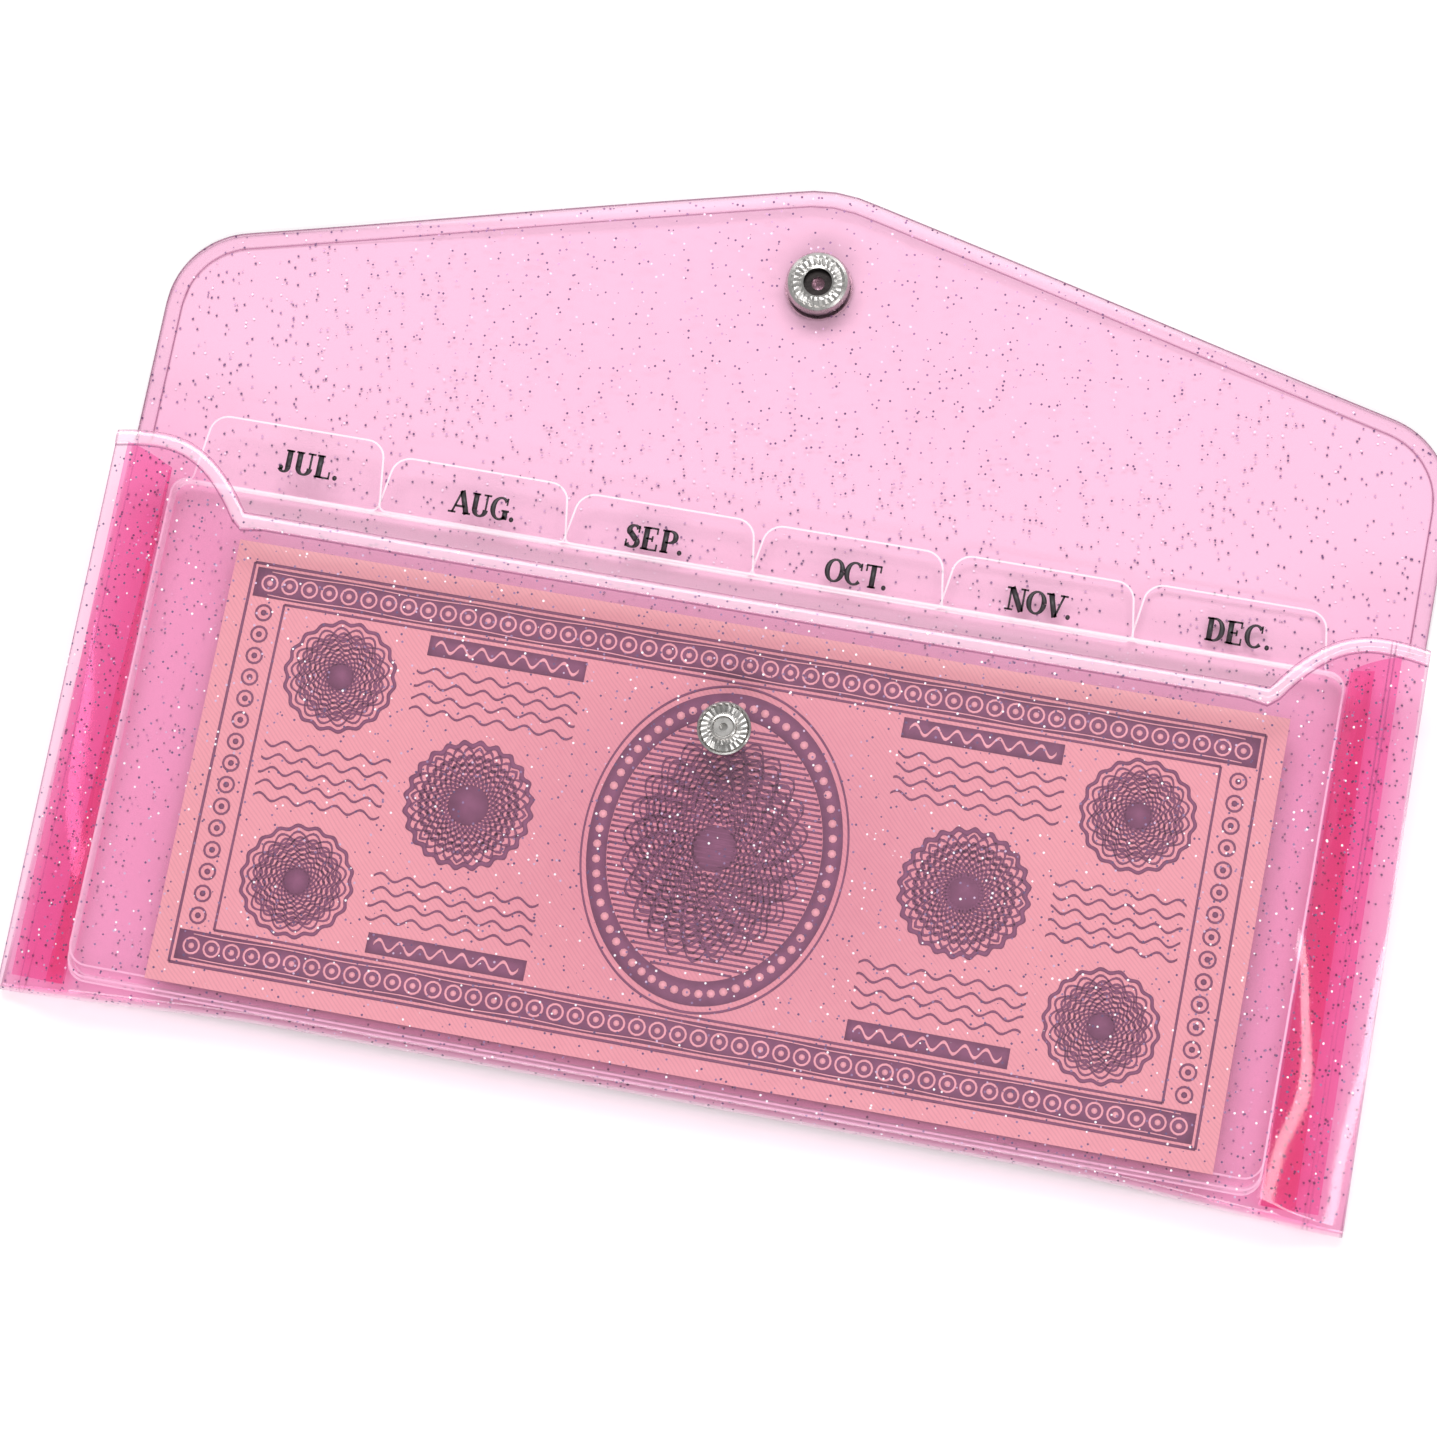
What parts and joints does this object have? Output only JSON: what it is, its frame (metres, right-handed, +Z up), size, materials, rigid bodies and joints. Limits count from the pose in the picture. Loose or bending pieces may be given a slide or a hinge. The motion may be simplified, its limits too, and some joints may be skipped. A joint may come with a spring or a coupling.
{
  "type": "cash envelope wallet",
  "caption": "Clear glitter vinyl envelope wallet lying on its back with the snap flap open, pleated side gussets, tabbed month dividers and a paper note inside.",
  "frame": {"origin": "centre of the bounding box's bottom, on the surface the wallet lies on", "axes": "+X along the wallet's length, +Y from the pouch's bottom fold towards the flap's peak, +Z up, out of the pouch's front"},
  "size_m": [0.197, 0.1394, 0.0126],
  "materials": {
    "glitter_vinyl": "clear pink vinyl film with fine glitter, glossy",
    "frosted_sheet": "frosted translucent sheet",
    "note_paper": "printed paper, matt",
    "nickel": "bright nickel plate",
    "spring_steel": "drawn wire"
  },
  "bodies": {
    "root": {"body_sheet": "glitter_vinyl", "gusset_left": "glitter_vinyl", "gusset_right": "glitter_vinyl", "divider_jul": "frosted_sheet", "divider_aug": "frosted_sheet", "divider_sep": "frosted_sheet", "divider_oct": "frosted_sheet", "divider_nov": "frosted_sheet", "divider_dec": "frosted_sheet", "paper_note": "note_paper", "snap_socket": "nickel", "socket_spring": "spring_steel", "snap_cap": "nickel", "snap_stud": "nickel", "stud_rivet": "nickel"}
  },
  "joints": []
}
